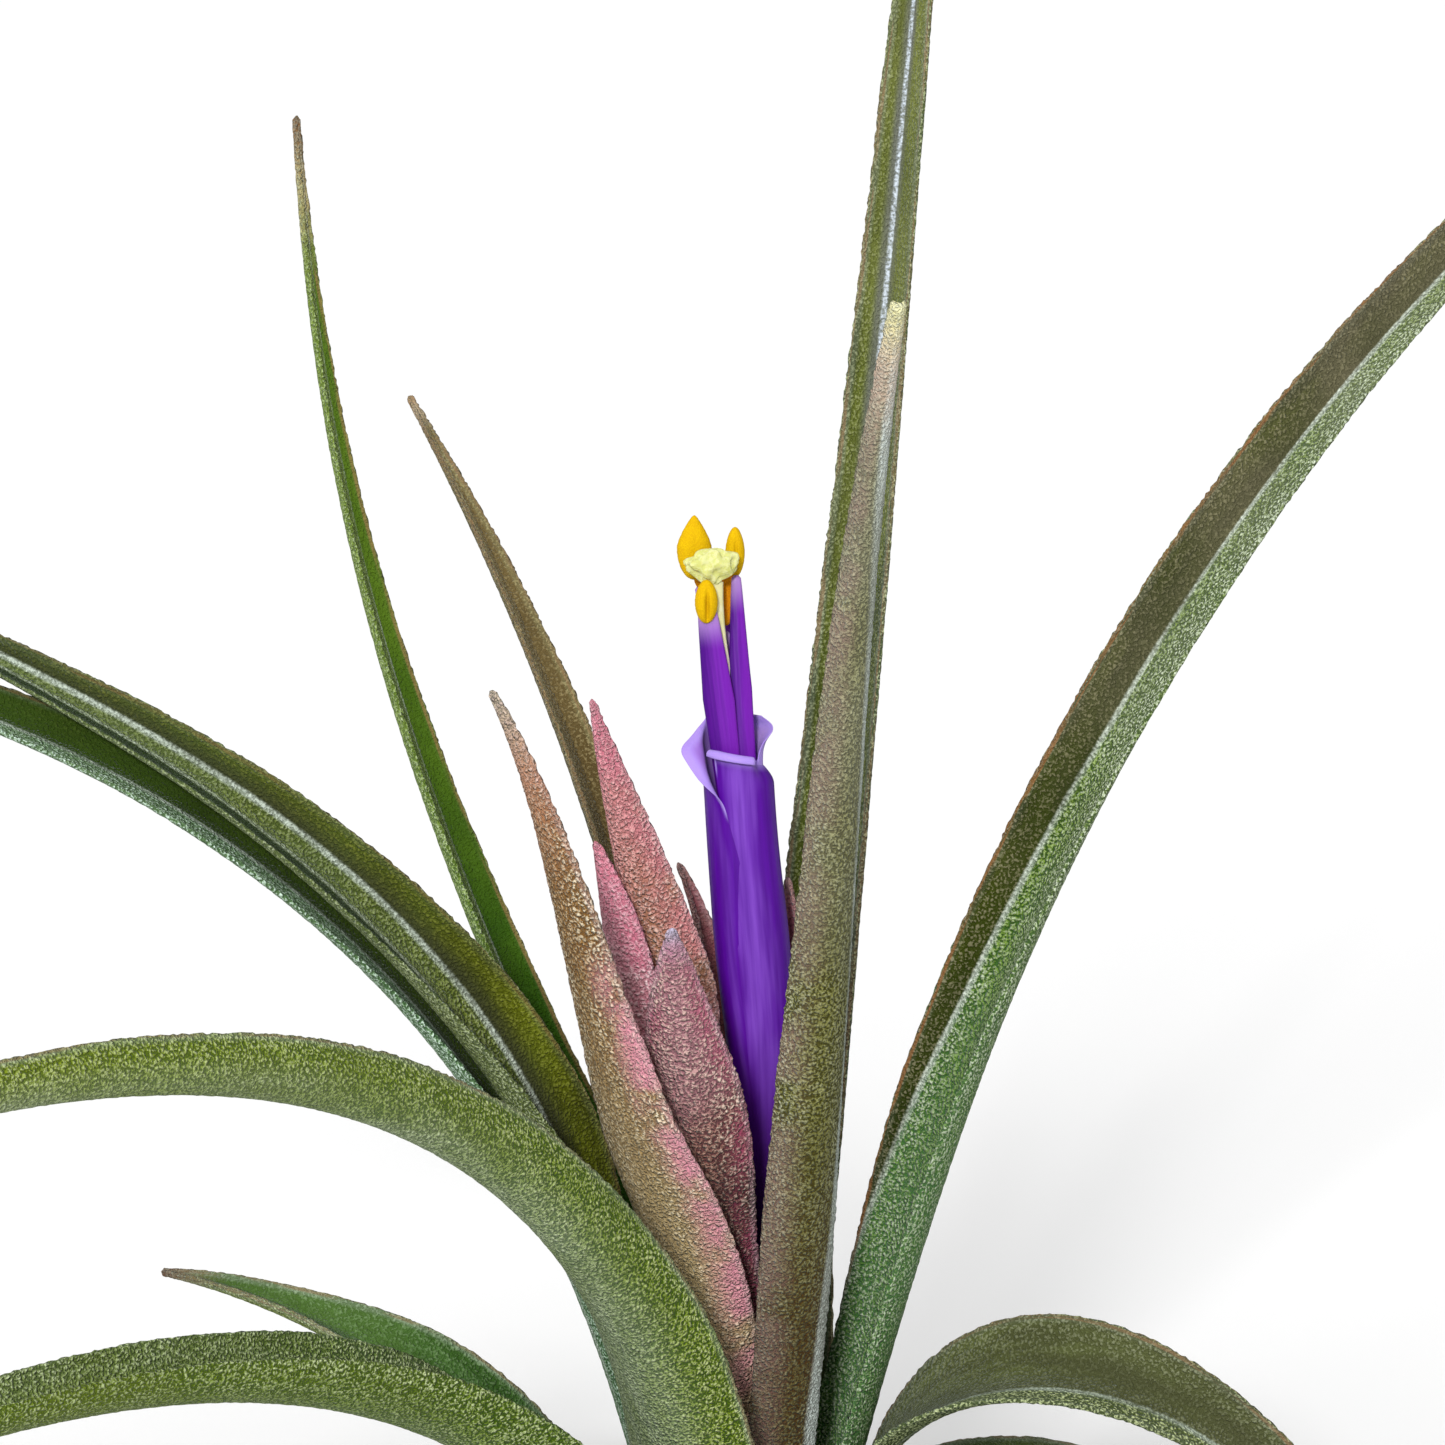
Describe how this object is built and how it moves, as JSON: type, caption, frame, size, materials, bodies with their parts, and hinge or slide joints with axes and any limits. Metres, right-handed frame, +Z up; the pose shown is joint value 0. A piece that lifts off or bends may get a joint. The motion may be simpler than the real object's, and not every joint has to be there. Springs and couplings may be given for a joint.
{
  "type": "air plant",
  "caption": "Air plant in flower: a rosette of long, channelled, silvery green leaves round a pink bracted head with one tubular violet flower.",
  "frame": {"origin": "middle of the flat underside of the basal stem, on the surface the plant rests on", "axes": "+Z up along the basal stem, +Y away from the side on which the flower head shows, +X to that side's right"},
  "size_m": [0.197, 0.1648, 0.1779],
  "materials": {
    "stem": "matte",
    "leaf": "matte",
    "bract": "matte",
    "petal": "satin",
    "filament": "satin",
    "anther": "matte",
    "stigma": "matte"
  },
  "bodies": {
    "root": {"stem": "stem", "leaf_tall_back": "leaf", "leaf_front_right": "leaf", "leaf_behind_spike": "leaf", "leaf_tall_left": "leaf", "leaf_long_right": "leaf", "leaf_long_left": "leaf", "leaf_back_steep": "leaf", "leaf_under_left": "leaf", "leaf_low_right": "leaf", "leaf_arch_left": "leaf", "leaf_back_arch": "leaf", "leaf_short_left": "leaf", "leaf_low_left": "leaf", "leaf_floor_back_right": "leaf", "leaf_floor_front_right": "leaf", "leaf_floor_right": "leaf", "leaf_floor_back": "leaf", "leaf_floor_front": "leaf", "leaf_floor_back_left": "leaf", "leaf_floor_right_back": "leaf", "bract_leafy": "bract", "bract_front": "bract", "bract_top": "bract", "bract_left": "bract", "bract_behind": "bract", "bract_right": "bract", "corolla": "petal", "filaments": "filament", "anther_1": "anther", "anther_2": "anther", "anther_3": "anther", "anther_4": "anther", "anther_5": "anther", "anther_6": "anther", "pistil": "stigma"}
  },
  "joints": []
}
